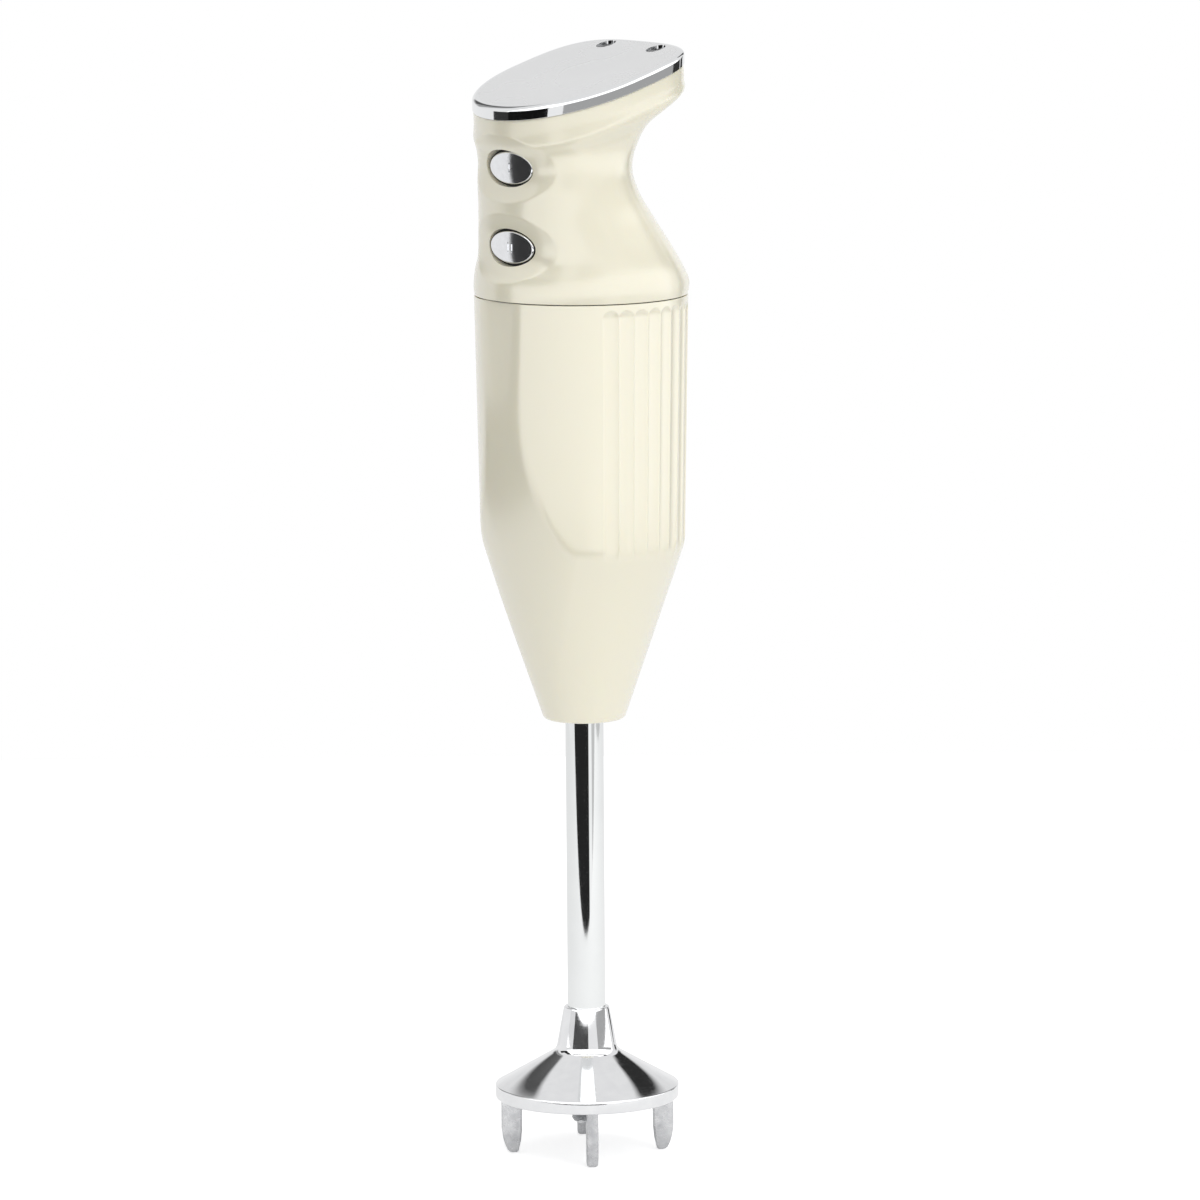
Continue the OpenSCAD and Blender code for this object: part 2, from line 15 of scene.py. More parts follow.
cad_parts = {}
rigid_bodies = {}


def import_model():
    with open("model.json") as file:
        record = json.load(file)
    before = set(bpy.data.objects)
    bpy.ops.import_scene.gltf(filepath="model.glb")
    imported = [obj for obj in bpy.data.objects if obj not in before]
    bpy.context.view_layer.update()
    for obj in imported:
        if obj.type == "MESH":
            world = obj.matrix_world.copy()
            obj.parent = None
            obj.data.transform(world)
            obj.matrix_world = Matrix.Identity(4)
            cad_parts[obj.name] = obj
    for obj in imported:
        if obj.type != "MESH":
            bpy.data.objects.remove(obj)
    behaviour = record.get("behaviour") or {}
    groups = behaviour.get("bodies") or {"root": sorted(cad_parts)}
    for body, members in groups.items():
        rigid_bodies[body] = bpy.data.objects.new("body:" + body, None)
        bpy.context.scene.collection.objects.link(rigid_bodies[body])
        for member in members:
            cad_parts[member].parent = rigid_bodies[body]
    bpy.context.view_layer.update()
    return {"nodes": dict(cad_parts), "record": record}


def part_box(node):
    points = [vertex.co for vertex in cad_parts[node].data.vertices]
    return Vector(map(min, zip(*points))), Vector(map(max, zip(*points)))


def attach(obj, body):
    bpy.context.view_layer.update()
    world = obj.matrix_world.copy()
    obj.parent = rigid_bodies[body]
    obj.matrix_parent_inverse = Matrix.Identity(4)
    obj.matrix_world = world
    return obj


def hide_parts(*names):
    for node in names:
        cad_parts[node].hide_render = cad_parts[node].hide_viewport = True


for old in list(bpy.data.objects):
    bpy.data.objects.remove(old)
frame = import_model()

MM = 0.001


def mm_box(node):
    """Lowest and highest corner of a CAD node, in millimetres."""
    lo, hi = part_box(node)
    return lo / MM, hi / MM


# ---- sizes taken from the frame

housing_lo, housing_hi = mm_box("motor_housing")
tube_lo, tube_hi = mm_box("shaft_tube")
guard_hi = mm_box("guard")[1]
button_lo, button_hi = mm_box("lower_button")
upper_lo, upper_hi = mm_box("upper_button")
hub_lo = mm_box("blade_hub")[0]

SEAM_GAP = 0.3
GRIP_Z = housing_lo.z                      # lower end of the grip
HOUSING_TOP = housing_hi.z
SEAM_Z = HOUSING_TOP + SEAM_GAP
GRIP_R2 = housing_hi.x                     # radius at the seam
TUBE_R = tube_hi.x
COLLAR_Z = guard_hi.z
BUTTON_FACE = -button_lo.y                 # distance of the buttons' faces from the axis
BUTTON_ZS = [(upper_lo.z + upper_hi.z) / 2, (button_lo.z + button_hi.z) / 2]

# ---- shape values

GRIP_R0 = 12.4                             # cone's lower end
GRIP_R1 = 31.2                             # where the cone meets the cylinder
CREASE_Z = 190.3
WALL = 2.3
FLOOR_T = 3.5
STRIP_Y = 31.3                             # flat strip down the front
STRIP_BLEND = 17                           # how softly the strip runs into the cone
EDGE_BLEND = 0.7                           # rounding of the moulded edges
FLUTES = 13                                # on each side of the back
FLUTE_PITCH = 9
FLUTE_DEPTH = 0.5
FLUTE_END = 2.1                            # from a flute's top to the seam

PLATE_Z = 334.75
PLATE_TILT = math.radians(16.2)
PLATE_T = 4
SCOOP_DEPTH = 3.1
SCOOP_REACH = (19.5, 10.5)
SCOOP_INSIDE = 1.35                        # the same hollow, inside the wall
OPENING = (11.3, 5.7)
BUTTON_A = (10.4, 4.9)
CROWN = (0.7, 0.2)                         # of a button, across and up
MARK = (0.32, 1.7, 0.3)                    # a button's bar: half width, half height and depth
MARK_GAP = 0.9                             # from the middle to each bar, where there are two
CONTACT = (12, 20, 3)                      # x, y and radius of the plate's two recesses
COLLAR_YS = (-24.4, -22.2)                 # ends of the collars that guide the buttons
COLLAR_GROWTH = (0.72, 1.6)                # how far their inside and outside are past the opening
POST = (12, 2.6, -24.5, -17.6)             # the board's posts: x, radius and both ends
SPIGOT_GAP = 0.25                          # between the head's spigot and the grip's wall

# height on the axis, tilt, centre, half width, reach to the front and back, squareness in
# front and behind
STATIONS = [
    (SEAM_Z, 0, 0, 32.6, 32.6, 32.6, 2, 2),
    (270, 1, 0, 33, 32.6, 33, 2, 2),
    (274.5, 2, 0, 33, 32, 29.8, 2, 2),
    (280.5, 4, -1, 32, 29.2, 25.8, 2.05, 2),
    (288.5, 6.5, -3.5, 29.6, 26.5, 22.3, 2.15, 2),
    (297, 8.5, -6.5, 27, 23.4, 20.2, 2.3, 2),
    (304.5, 10, -8, 25.6, 22, 19.6, 2.45, 2),
    (311.5, 11.5, -6.5, 25.6, 23.8, 19.4, 2.45, 2.1),
    (317.5, 13.5, -4, 26.8, 27.2, 20.6, 2.35, 2.4),
    (322, 15.4, -2, 29.3, 30.3, 28.4, 2.2, 3.2),
    (326, 16.2, -1, 29.9, 31.6, 27.3, 2.1, 3.3),
    (PLATE_Z - PLATE_T - 0.15, 16.2, -1, 30.1, 31.7, 26.6, 2.1, 3.4),
]
PLATE = (-1, 30.3, 31.9, 26.8, 2.1, 3.4)

SKIN = 0.09                                # keeps the curved head inside the CAD head's flat facets
LEG_TURN = 55
LEG_T = 3.5
LEG_TOP = 20.9                             # inside the bell's wall
BELL_R = 28.3
RIM_Z = (17.3, 21.4)
BLADE_T = 1.2
BLADE_FLAT = 10.5                          # radius where the blade's tips bend
CAMERA_TURN = 51.5                         # the camera's side, from the front towards +X


# ---- meshes

def point(x, y, z):
    return Vector((x, y, z)) * MM


def grid(rings, closed_rings=False):
    """Quads through rings of equal length. Each ring closes on itself."""
    m = len(rings[0])
    n = len(rings)
    verts = [p for ring in rings for p in ring]
    faces = []
    for i in range(n if closed_rings else n - 1):
        for j in range(m):
            a, b = i * m + j, i * m + (j + 1) % m
            c = ((i + 1) % n) * m
            faces.append((a, b, c + (j + 1) % m, c + j))
    return verts, faces


def capped(rings):
    """A grid closed at both ends."""
    verts, faces = grid(rings)
    m = len(rings[0])
    last = len(verts) - m
    faces.append(tuple(range(m - 1, -1, -1)))
    faces.append(tuple(last + j for j in range(m)))
    return verts, faces


def circle(r, z, n):
    return [point(r * math.cos(2 * math.pi * j / n), r * math.sin(2 * math.pi * j / n), z) for j in range(n)]


def turned(profile, n, through=True):
    """A turned solid. A profile that goes round a hole closes on itself."""
    rings = [circle(r, z, n) for r, z in profile]
    return grid(rings, True) if through else capped(rings)


def mesh_object(name, verts, faces, sharp=35):
    """A linked object with its faces turned outwards."""
    me = bpy.data.meshes.new(name)
    me.from_pydata([tuple(v) for v in verts], [], faces)
    bm = bmesh.new()
    bm.from_mesh(me)
    bmesh.ops.recalc_face_normals(bm, faces=bm.faces)
    bm.to_mesh(me)
    bm.free()
    ob = bpy.data.objects.new(name, me)
    bpy.context.scene.collection.objects.link(ob)
    smooth(ob, sharp)
    return ob


def smooth(ob, sharp=35):
    """Smooth shading, apart from edges sharper than an angle."""
    ob.data.shade_smooth()
    ob.data.set_sharp_from_angle(angle=math.radians(sharp))


def combine(ob, tool, operation):
    """Unites ob with tool or cuts it by tool, which is then removed."""
    mod = ob.modifiers.new("combine", "BOOLEAN")
    mod.operation = operation
    mod.solver = "EXACT"
    mod.object = tool
    apply_modifiers(ob)
    bpy.data.objects.remove(tool)
    return ob


def apply_modifiers(ob):
    """Makes the modified mesh the object's own."""
    depsgraph = bpy.context.evaluated_depsgraph_get()
    depsgraph.update()
    me = bpy.data.meshes.new_from_object(ob.evaluated_get(depsgraph))
    ob.modifiers.clear()
    old = ob.data
    ob.data = me
    bpy.data.meshes.remove(old)


def bevel(ob, width, segments, angle):
    """Rounds the edges sharper than an angle."""
    mod = ob.modifiers.new("bevel", "BEVEL")
    mod.width = width * MM
    mod.segments = segments
    mod.limit_method = "ANGLE"
    mod.angle_limit = math.radians(angle)
    apply_modifiers(ob)
    return ob


def join(name, parts):
    """One mesh object made of several."""
    bm = bmesh.new()
    for p in parts:
        bm.from_mesh(p.data)
    me = bpy.data.meshes.new(name)
    bm.to_mesh(me)
    bm.free()
    for p in parts:
        bpy.data.objects.remove(p)
    ob = bpy.data.objects.new(name, me)
    bpy.context.scene.collection.objects.link(ob)
    return ob


def piece(ob, body, slot, nodes, sharp=35):
    """Finishes a piece: its shading, its material, and the CAD nodes it stands for."""
    smooth(ob, sharp)
    ob.data.materials.clear()
    ob.data.materials.append(MATERIALS[slot])
    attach(ob, body)
    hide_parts(*nodes)
    return ob


def oval_rings(a, ys, z, n=96):
    """Rings of an oval prism along Y: ys is a list of (y, change of the half axes)."""
    turns = [2 * math.pi * j / n for j in range(n)]
    return [[point((a[0] + da) * math.cos(t), y, z + (a[1] + da) * math.sin(t)) for t in turns]
            for y, da in ys]


# ---- material nodes

class Nodes:
    """A short way to write a node material on one Principled shader."""

    def __init__(self, name, color, metallic, roughness):
        self.material = bpy.data.materials.new(name)
        self.material.use_nodes = True
        self.tree = self.material.node_tree
        self.shader = self.tree.nodes["Principled BSDF"]
        self.shader.inputs["Base Color"].default_value = (*color, 1)
        self.shader.inputs["Metallic"].default_value = metallic
        self.shader.inputs["Roughness"].default_value = roughness
        self.coords = self.add("ShaderNodeTexCoord").outputs["Object"]
        self.color = color

    def add(self, kind, **values):
        node = self.tree.nodes.new(kind)
        for key, value in values.items():
            setattr(node, key, value)
        return node

    def link(self, a, b):
        self.tree.links.new(a, b)

    def noise(self, per_mm, detail=3.0, stretch=(1, 1, 1)):
        """Noise with about per_mm features in a millimetre."""
        mapping = self.add("ShaderNodeMapping")
        mapping.inputs["Scale"].default_value = [s / MM for s in stretch]
        noise = self.add("ShaderNodeTexNoise")
        noise.inputs["Scale"].default_value = per_mm
        noise.inputs["Detail"].default_value = detail
        self.link(self.coords, mapping.inputs["Vector"])
        self.link(mapping.outputs["Vector"], noise.inputs["Vector"])
        return noise.outputs["Fac"]

    def spread(self, value, low, high):
        """value, from 0.3 to 0.7, spread over low to high."""
        node = self.add("ShaderNodeMapRange")
        node.inputs["From Min"].default_value = 0.3
        node.inputs["From Max"].default_value = 0.7
        node.inputs["To Min"].default_value = low
        node.inputs["To Max"].default_value = high
        self.link(value, node.inputs["Value"])
        return node.outputs["Result"]

    def roughness(self, value, low, high):
        self.link(self.spread(value, low, high), self.shader.inputs["Roughness"])

    def tint(self, value, other):
        """The base colour wanders between the material's own and another."""
        mix = self.add("ShaderNodeMix", data_type="RGBA")
        mix.inputs["A"].default_value = (*self.color, 1)
        mix.inputs["B"].default_value = (*other, 1)
        self.link(self.spread(value, 0, 1), mix.inputs["Factor"])
        self.link(mix.outputs["Result"], self.shader.inputs["Base Color"])

    def bump(self, value, depth_mm, strength=1.0):
        bump = self.add("ShaderNodeBump")
        bump.inputs["Distance"].default_value = depth_mm * MM
        bump.inputs["Strength"].default_value = strength
        self.link(value, bump.inputs["Height"])
        self.link(bump.outputs["Normal"], self.shader.inputs["Normal"])


def cream_plastic():
    m = Nodes("cream_shell", (0.865, 0.825, 0.66), 0, 0.3)
    m.tint(m.noise(0.05, 2), (0.87, 0.831, 0.668))
    m.roughness(m.noise(0.04, 2), 0.29, 0.31)
    m.bump(m.noise(0.12, 1), 0.0012, 0.2)
    m.shader.inputs["Coat Weight"].default_value = 1.0
    m.shader.inputs["Coat IOR"].default_value = 1.8
    m.shader.inputs["Coat Roughness"].default_value = 0.2
    m.shader.inputs["Subsurface Weight"].default_value = 0.12
    m.shader.inputs["Subsurface Radius"].default_value = (0.004, 0.003, 0.0015)
    m.shader.inputs["Subsurface Scale"].default_value = 0.4
    return m.material


def polished(name, color, low, high, stretch=(1, 1, 1), bump=0.0008):
    """Polished metal with faint marks left by the polishing."""
    m = Nodes(name, color, 1, low)
    m.tint(m.noise(0.08, 3), [0.96 * c for c in color])
    m.roughness(m.noise(0.5, 5, stretch), low, high)
    m.bump(m.noise(1.5, 3, stretch), bump, 0.5)
    return m.material


def plate_face():
    """The plate's flat top: an even satin with a broad, faint cloud."""
    m = Nodes("plate_face", (0.86, 0.865, 0.87), 1, 0.28)
    m.tint(m.noise(0.02, 2), (0.835, 0.84, 0.845))
    m.roughness(m.noise(0.03, 2), 0.26, 0.3)
    return m.material


def speckled_metal(name, color):
    """Satin chrome with a fine grain."""
    m = Nodes(name, color, 1, 0.2)
    m.tint(m.noise(0.6, 4), [0.94 * c for c in color])
    m.roughness(m.noise(2.5, 4), 0.07, 0.13)
    m.bump(m.noise(3.5, 2), 0.006, 0.6)
    return m.material


def cast_metal():
    """Turned and polished light alloy: fine rings about the shaft and a cast grain."""
    m = Nodes("guard_metal", (0.86, 0.865, 0.875), 1, 0.1)
    m.tint(m.noise(0.25, 5), (0.81, 0.815, 0.83))
    m.roughness(m.noise(0.6, 5, (1, 1, 4)), 0.04, 0.09)
    m.bump(m.noise(1.2, 4, (0.6, 0.6, 5)), 0.0015, 0.4)
    return m.material


def leg_metal():
    """The legs as cast: greyer and rougher than the turned bell."""
    m = Nodes("leg_metal", (0.7, 0.705, 0.715), 1, 0.3)
    m.tint(m.noise(0.35, 5), (0.5, 0.505, 0.52))
    m.roughness(m.noise(0.7, 5), 0.18, 0.4)
    m.bump(m.noise(0.9, 5), 0.05, 0.7)
    return m.material


def ground_steel(name, color, low=0.2, high=0.38):
    m = Nodes(name, color, 1, low)
    m.tint(m.noise(0.3, 4), [0.86 * c for c in color])
    m.roughness(m.noise(0.8, 5, (5, 0.7, 0.7)), low, high)
    m.bump(m.noise(2, 4, (6, 0.7, 0.7)), 0.004, 0.5)
    return m.material


def dull(name, color, rough=0.55, grain=1.5):
    """Rubber, matt plastic and the like: a slight mottle and a moulded grain."""
    m = Nodes(name, color, 0, rough)
    m.tint(m.noise(0.2, 4), [min(1, 1.35 * c + 0.004) for c in color])
    m.roughness(m.noise(0.8, 4), rough - 0.08, rough + 0.1)
    m.bump(m.noise(grain, 3), 0.015, 0.5)
    return m.material


def metal(name, color, low=0.22, high=0.4):
    m = Nodes(name, color, 1, low)
    m.tint(m.noise(0.25, 5), [0.82 * c for c in color])
    m.roughness(m.noise(0.7, 4), low, high)
    m.bump(m.noise(2, 3), 0.004, 0.5)
    return m.material


MATERIALS = {
    "cream_shell": cream_plastic(),
    "plate_chrome": polished("plate_chrome", (0.86, 0.87, 0.88), 0.04, 0.08),
    "button_chrome": speckled_metal("button_chrome", (0.84, 0.85, 0.87)),
    "tube_chrome": polished("tube_chrome", (0.87, 0.885, 0.885), 0.03, 0.06, (1, 1, 0.15)),
    "guard_metal": cast_metal(),
    "blade_steel": ground_steel("blade_steel", (0.66, 0.67, 0.68)),
    "inner_steel": ground_steel("inner_steel", (0.52, 0.53, 0.55), 0.25, 0.45),
    "black_rubber": dull("black_rubber", (0.012, 0.012, 0.013), 0.6),
    "black_plastic": dull("black_plastic", (0.02, 0.02, 0.022), 0.4),
    "grey_plastic": dull("grey_plastic", (0.16, 0.165, 0.175), 0.45),
    "board_green": dull("board_green", (0.02, 0.13, 0.05), 0.35, 0.8),
    "brass": metal("brass", (0.72, 0.53, 0.24)),
    "copper": metal("copper", (0.66, 0.3, 0.14), 0.3, 0.5),
    "lead_blue": dull("lead_blue", (0.02, 0.06, 0.25), 0.45),
    "lead_red": dull("lead_red", (0.35, 0.015, 0.01), 0.45),
    "cell_sleeve": dull("cell_sleeve", (0.02, 0.1, 0.3), 0.35, 0.6),
}
PLATE_FACE = plate_face()
LEG_METAL = leg_metal()


def paint_frame():
    """Every CAD node gets its record slot's material."""
    for row in frame["record"]["subparts"]:
        ob = frame["nodes"][row["node"]]
        ob.data.materials.clear()
        ob.data.materials.append(MATERIALS[row["material_slot"]])


# ---- motor housing

def soft_min(a, b, k):
    """The smaller of two values, blended where they are within k of each other."""
    h = max(k - abs(a - b), 0) / k
    return min(a, b) - h * h * k / 4


def flute(from_back, z):
    """Depth of the flutes at an angle from the back and a height."""
    if from_back >= FLUTES * FLUTE_PITCH:
        return 0
    across = (from_back % FLUTE_PITCH) / (FLUTE_PITCH / 2) - 1
    half = math.radians(FLUTE_PITCH / 2) * GRIP_R1
    rise = max(0, (z - (SEAM_Z - FLUTE_END - half)) / half)
    left = 1 - across * across - rise * rise
    return FLUTE_DEPTH * left ** 0.7 if left > 0 else 0


def grip_radius(from_front, z):
    """Radius of the motor housing at an angle from the front, 0 to 180 degrees."""
    cylinder = GRIP_R1 + (GRIP_R2 - GRIP_R1) / (HOUSING_TOP - CREASE_Z) * (z - CREASE_Z)
    cone = GRIP_R1 + (GRIP_R1 - GRIP_R0) / (CREASE_Z - GRIP_Z) * (z - CREASE_Z)
    c = math.cos(math.radians(from_front))
    strip = STRIP_Y / c if c > 0.2 else 1000
    return soft_min(cylinder - flute(180 - from_front, z), soft_min(strip, cone, STRIP_BLEND), EDGE_BLEND)


def steps(a, b, step):
    """Even values from a up to, but without, b."""
    n = max(1, round((b - a) / step))
    return [a + (b - a) * i / n for i in range(n)]


def grip_ring(z, inset, n=720):
    """The motor housing's outline at a height, inset by so much."""
    ring = []
    for j in range(n):
        angle = 360 * j / n                             # from the front, towards +X
        r = grip_radius(min(angle, 360 - angle), z) - inset
        a = math.radians(angle)
        ring.append(point(r * math.sin(a), -r * math.cos(a), z))
    return ring


def motor_housing():
    lip = 1.0
    heights = steps(GRIP_Z + lip, CREASE_Z - 3, 2) + steps(CREASE_Z - 3, CREASE_Z + 3, 0.4)
    heights += steps(CREASE_Z + 3, HOUSING_TOP - 5.5, 0.9) + steps(HOUSING_TOP - 5.5, HOUSING_TOP - 0.2, 0.25)
    rings = [circle_like(TUBE_R + 0.05, GRIP_Z)]
    for k in range(6):
        a = math.pi / 2 * k / 6
        rings.append(grip_ring(GRIP_Z + lip * (1 - math.cos(a)), lip * (1 - math.sin(a))))
    rings += [grip_ring(z, 0) for z in heights]
    for k in range(5):
        a = math.pi / 2 * k / 4
        rings.append(grip_ring(HOUSING_TOP - 0.2 + 0.2 * math.sin(a), 0.2 * (1 - math.cos(a))))
    for z in (HOUSING_TOP, 245, 225, 205, CREASE_Z, 175, 155, GRIP_Z + FLOOR_T):
        rings.append(grip_ring(z, WALL + (0.01 if z == HOUSING_TOP else 0.1)))
    rings.append(circle_like(TUBE_R + 0.05, GRIP_Z + FLOOR_T))
    ob = mesh_object("motor_shell", *grid(rings, True))
    piece(ob, "handle", "cream_shell", ["motor_housing"], 50)


def circle_like(r, z, n=720):
    """A circle whose points start at the front, as a grip ring's do."""
    return [point(r * math.sin(2 * math.pi * j / n), -r * math.cos(2 * math.pi * j / n), z) for j in range(n)]


# ---- head

def spow(v, p):
    """A power that keeps the sign."""
    return math.copysign(abs(v) ** p, v)


def station(u):
    """The outline's values at u, from 0 at the seam to 1 under the plate."""
    n = len(STATIONS) - 1
    x = u * n
    i = min(int(x), n - 1)
    f = x - i
    a, b, c, d = (STATIONS[max(i - 1, 0)], STATIONS[i], STATIONS[i + 1], STATIONS[min(i + 2, n)])
    return [0.5 * (2 * q + (r - p) * f + (2 * p - 5 * q + 4 * r - s) * f * f
                   + (3 * q - p - 3 * r + s) * f ** 3) for p, q, r, s in zip(a, b, c, d)]


def outline(values, inset, t):
    """A point of an outline in plan. values are the centre to the squareness behind."""
    yc, half, front, back, square_front, square_back = values
    towards_front = math.cos(t) > 0
    p = 2 / (square_front if towards_front else square_back)
    reach = -(front - inset) if towards_front else back - inset
    return (half - inset) * spow(math.sin(t), p), yc + reach * abs(math.cos(t)) ** p


def even(psi, square_front=2.25, square_back=3.1):
    """The outline's parameter that spaces its points evenly, for an angle from the front."""
    s = math.sin(psi)
    if math.cos(psi) > 0:
        return math.asin(spow(s, square_front / 2))
    return math.pi - math.asin(spow(s, square_back / 2))


def scoop(x, y, z):
    """How far the surface is pushed back round the buttons."""
    if y > -12:
        return 0
    deep = 0
    for h in BUTTON_ZS:
        q = (x / SCOOP_REACH[0]) ** 2 + ((z - h) / SCOOP_REACH[1]) ** 2
        if q < 1:
            deep = max(deep, SCOOP_DEPTH * (1 - q) ** 1.2)
    return deep


def head_angles():
    """The outline's parameters, closer together in front, where the scoops are."""
    fine = steps(-32, 32, 0.5)
    coarse = steps(32, 328, 1.25)
    return [even(math.radians(a)) for a in fine + coarse]


def head_ring(u, inset, angles, hollow=1.0):
    """The head's outline at u. hollow is the share of the scoops' depth."""
    s = station(u)
    ring = []
    for t in angles:
        x, y = outline(s[2:], inset, t)
        z = s[0] + y * math.tan(math.radians(s[1]))
        ring.append(point(x, y + hollow * scoop(x, y, z), z))
    return ring


def oval_cutter(name, a, y0, y1, z):
    return mesh_object(name, *capped(oval_rings(a, [(y0, 0), (y1, 0)], z)))


def head_housing():
    angles = head_angles()
    rows = 14 * (len(STATIONS) - 1)
    rings = [head_ring(0, WALL, angles), head_ring(0, 0.2, angles)]
    rings += [head_ring(0.0015 * k, SKIN + 0.2 * (1 - k / 3) ** 2, angles) for k in (1, 2)]
    rings += [head_ring(i / rows, SKIN, angles) for i in range(1, rows)]
    rings += [head_ring(1, SKIN + 0.05, angles)]
    rings += [head_ring(i / 33, WALL + 0.1, angles, SCOOP_INSIDE) for i in range(33, 0, -1)]
    shell = mesh_object("head_shell", *grid(rings, True))
    for h in BUTTON_ZS:
        shell = combine(shell, oval_cutter("cut", OPENING, -40, -15, h), "DIFFERENCE")
    parts = [shell]
    for h in BUTTON_ZS:                                  # collars that guide the buttons
        (front, back), (inside, outside) = COLLAR_YS, COLLAR_GROWTH
        collar = oval_rings(OPENING, [(front, inside), (back, inside), (back, outside), (front, outside)], h)
        parts.append(mesh_object("collar", *grid(collar, True)))
    for x in (-POST[0], POST[0]):
        z = sum(BUTTON_ZS) / 2
        post = [[point(x + POST[1] * math.cos(k * math.pi / 16), y, z + POST[1] * math.sin(k * math.pi / 16))
                 for k in range(32)] for y in POST[2:]]
        parts.append(mesh_object("post", *capped(post)))
    spigot = GRIP_R2 - WALL - SPIGOT_GAP
    inner, low, step, high = spigot - 1.6, SEAM_Z - 4.5, SEAM_Z + 0.4, SEAM_Z + 3
    profile = [(inner, low), (spigot, low), (spigot, step), (spigot + 1, step), (spigot + 1, high),
               (inner, high)]
    parts.append(mesh_object("spigot", *turned(profile, 180)))
    piece(join("head_shell", parts), "handle", "cream_shell", ["head_housing"], 40)


# ---- top plate

def plate_ring(inset, dz, angles, scale=1.0):
    ring = []
    for t in angles:
        x, y = outline(PLATE, inset, t)
        x, y = scale * x, scale * y
        ring.append(point(x, y, PLATE_Z + dz + y * math.tan(PLATE_TILT)))
    return ring


def top_plate():
    angles = [even(math.radians(a), 2.1, 3.4) for a in steps(0, 360, 1)]
    lip = WALL + 0.5
    rings = [plate_ring(lip, -PLATE_T - 1.8, angles), plate_ring(lip, -PLATE_T, angles),
             plate_ring(0.2, -PLATE_T, angles), plate_ring(0, -PLATE_T + 0.2, angles)]
    bevel_in, bevel_down = 1.9, 1.3
    for k in range(9):
        a = math.pi / 2 * k / 8
        rings.append(plate_ring(bevel_in * (1 - math.cos(a)), -bevel_down * (1 - math.sin(a)), angles))
    rings += [plate_ring(bevel_in, 0.0, angles, s) for s in (0.985, 0.85, 0.6, 0.3, 0.05)]
    ob = mesh_object("plate", *capped(rings))
    for x in (-CONTACT[0], CONTACT[0]):
        z = PLATE_Z + CONTACT[1] * math.tan(PLATE_TILT)
        tool = turned([(CONTACT[2], z - 12), (CONTACT[2], z + 3)], 64, False)
        cutter = mesh_object("cut", [v + point(x, CONTACT[1], 0) for v in tool[0]], tool[1])
        ob = combine(ob, cutter, "DIFFERENCE")
    piece(ob, "handle", "plate_chrome", ["top_plate"], 30)
    ob.data.materials.append(PLATE_FACE)
    up = Vector((0, -math.sin(PLATE_TILT), math.cos(PLATE_TILT)))
    for face in ob.data.polygons:
        if face.normal.dot(up) > 0.9995:
            face.material_index = 1


# ---- buttons

def button(name, node, body, h, marks):
    """A crowned oval with a rounded rim and a flange behind it. marks are the bars' places."""
    back = mm_box(node)[1].y
    flange_y = back - 1
    n = 128
    rim = 0.5

    def ring(s, y, inset=0.0):
        """An oval at a share s of the face, y behind the crowned face."""
        points = []
        for j in range(n):
            c, w = math.cos(2 * math.pi * j / n), math.sin(2 * math.pi * j / n)
            lift = CROWN[0] * (s * c) ** 2 + CROWN[1] * (s * w) ** 2
            x, z = s * (BUTTON_A[0] - inset) * c, s * (BUTTON_A[1] - inset) * w
            points.append(point(x, -BUTTON_FACE + lift + y, h + z))
        return points

    rings = oval_rings((OPENING[0] + 0.3, OPENING[1] + 0.3), [(back, 0), (flange_y, 0)], h, n)
    rings += oval_rings(BUTTON_A, [(flange_y, 0)], h, n)
    for k in range(7):
        a = math.pi / 2 * k / 6
        rings.append(ring(1, rim * (1 - math.sin(a)), rim * (1 - math.cos(a))))
    rings += [ring(s, 0, rim) for s in (0.93, 0.85, 0.75, 0.65, 0.55, 0.45, 0.35, 0.25, 0.15, 0.05)]
    ob = mesh_object(name, *capped(rings))
    half_width, half_height, depth = MARK
    turns = [2 * math.pi * j / 24 for j in range(24)]
    for x in marks:
        bar = [[point(x + half_width * math.cos(t), y, h + spow(math.sin(t), 0.5) * half_height) for t in turns]
               for y in (-BUTTON_FACE - 1, -BUTTON_FACE + depth)]
        ob = combine(ob, mesh_object("cut", *capped(bar)), "DIFFERENCE")
    piece(ob, body, "button_chrome", [node], 40)


# ---- shaft, guard and blade

def shaft_tube():
    inner = TUBE_R - 1
    z0, z1 = tube_lo.z, tube_hi.z
    ob = mesh_object("shaft", *turned([
        (inner, z0), (TUBE_R - 0.15, z0), (TUBE_R, z0 + 0.15), (TUBE_R, (z0 + z1) / 2), (TUBE_R, z1 - 0.3),
        (TUBE_R - 0.3, z1), (inner, z1)], 256))
    piece(ob, "handle", "tube_chrome", ["shaft_tube"])


def guard_leg(turn):
    """One leg: a flat fin that narrows to a rounded foot."""
    shape = [(20.1, LEG_TOP), (20.3, 7), (20.7, 3.4), (21.4, 0.5), (21.9, 0.05), (22.6, 0), (23.4, 0),
             (24.1, 0.15), (24.8, 0.8), (25.6, 2.5), (26.2, 4.6), (26.6, 7.4), (26.6, LEG_TOP)]
    rings = [[point(r, y, z) for r, z in shape] for y in (-LEG_T / 2, LEG_T / 2)]
    leg = mesh_object("leg", *capped(rings))
    bevel(leg, 0.75, 3, 50)
    leg.data.transform(Matrix.Rotation(math.radians(turn), 4, "Z"))
    return leg


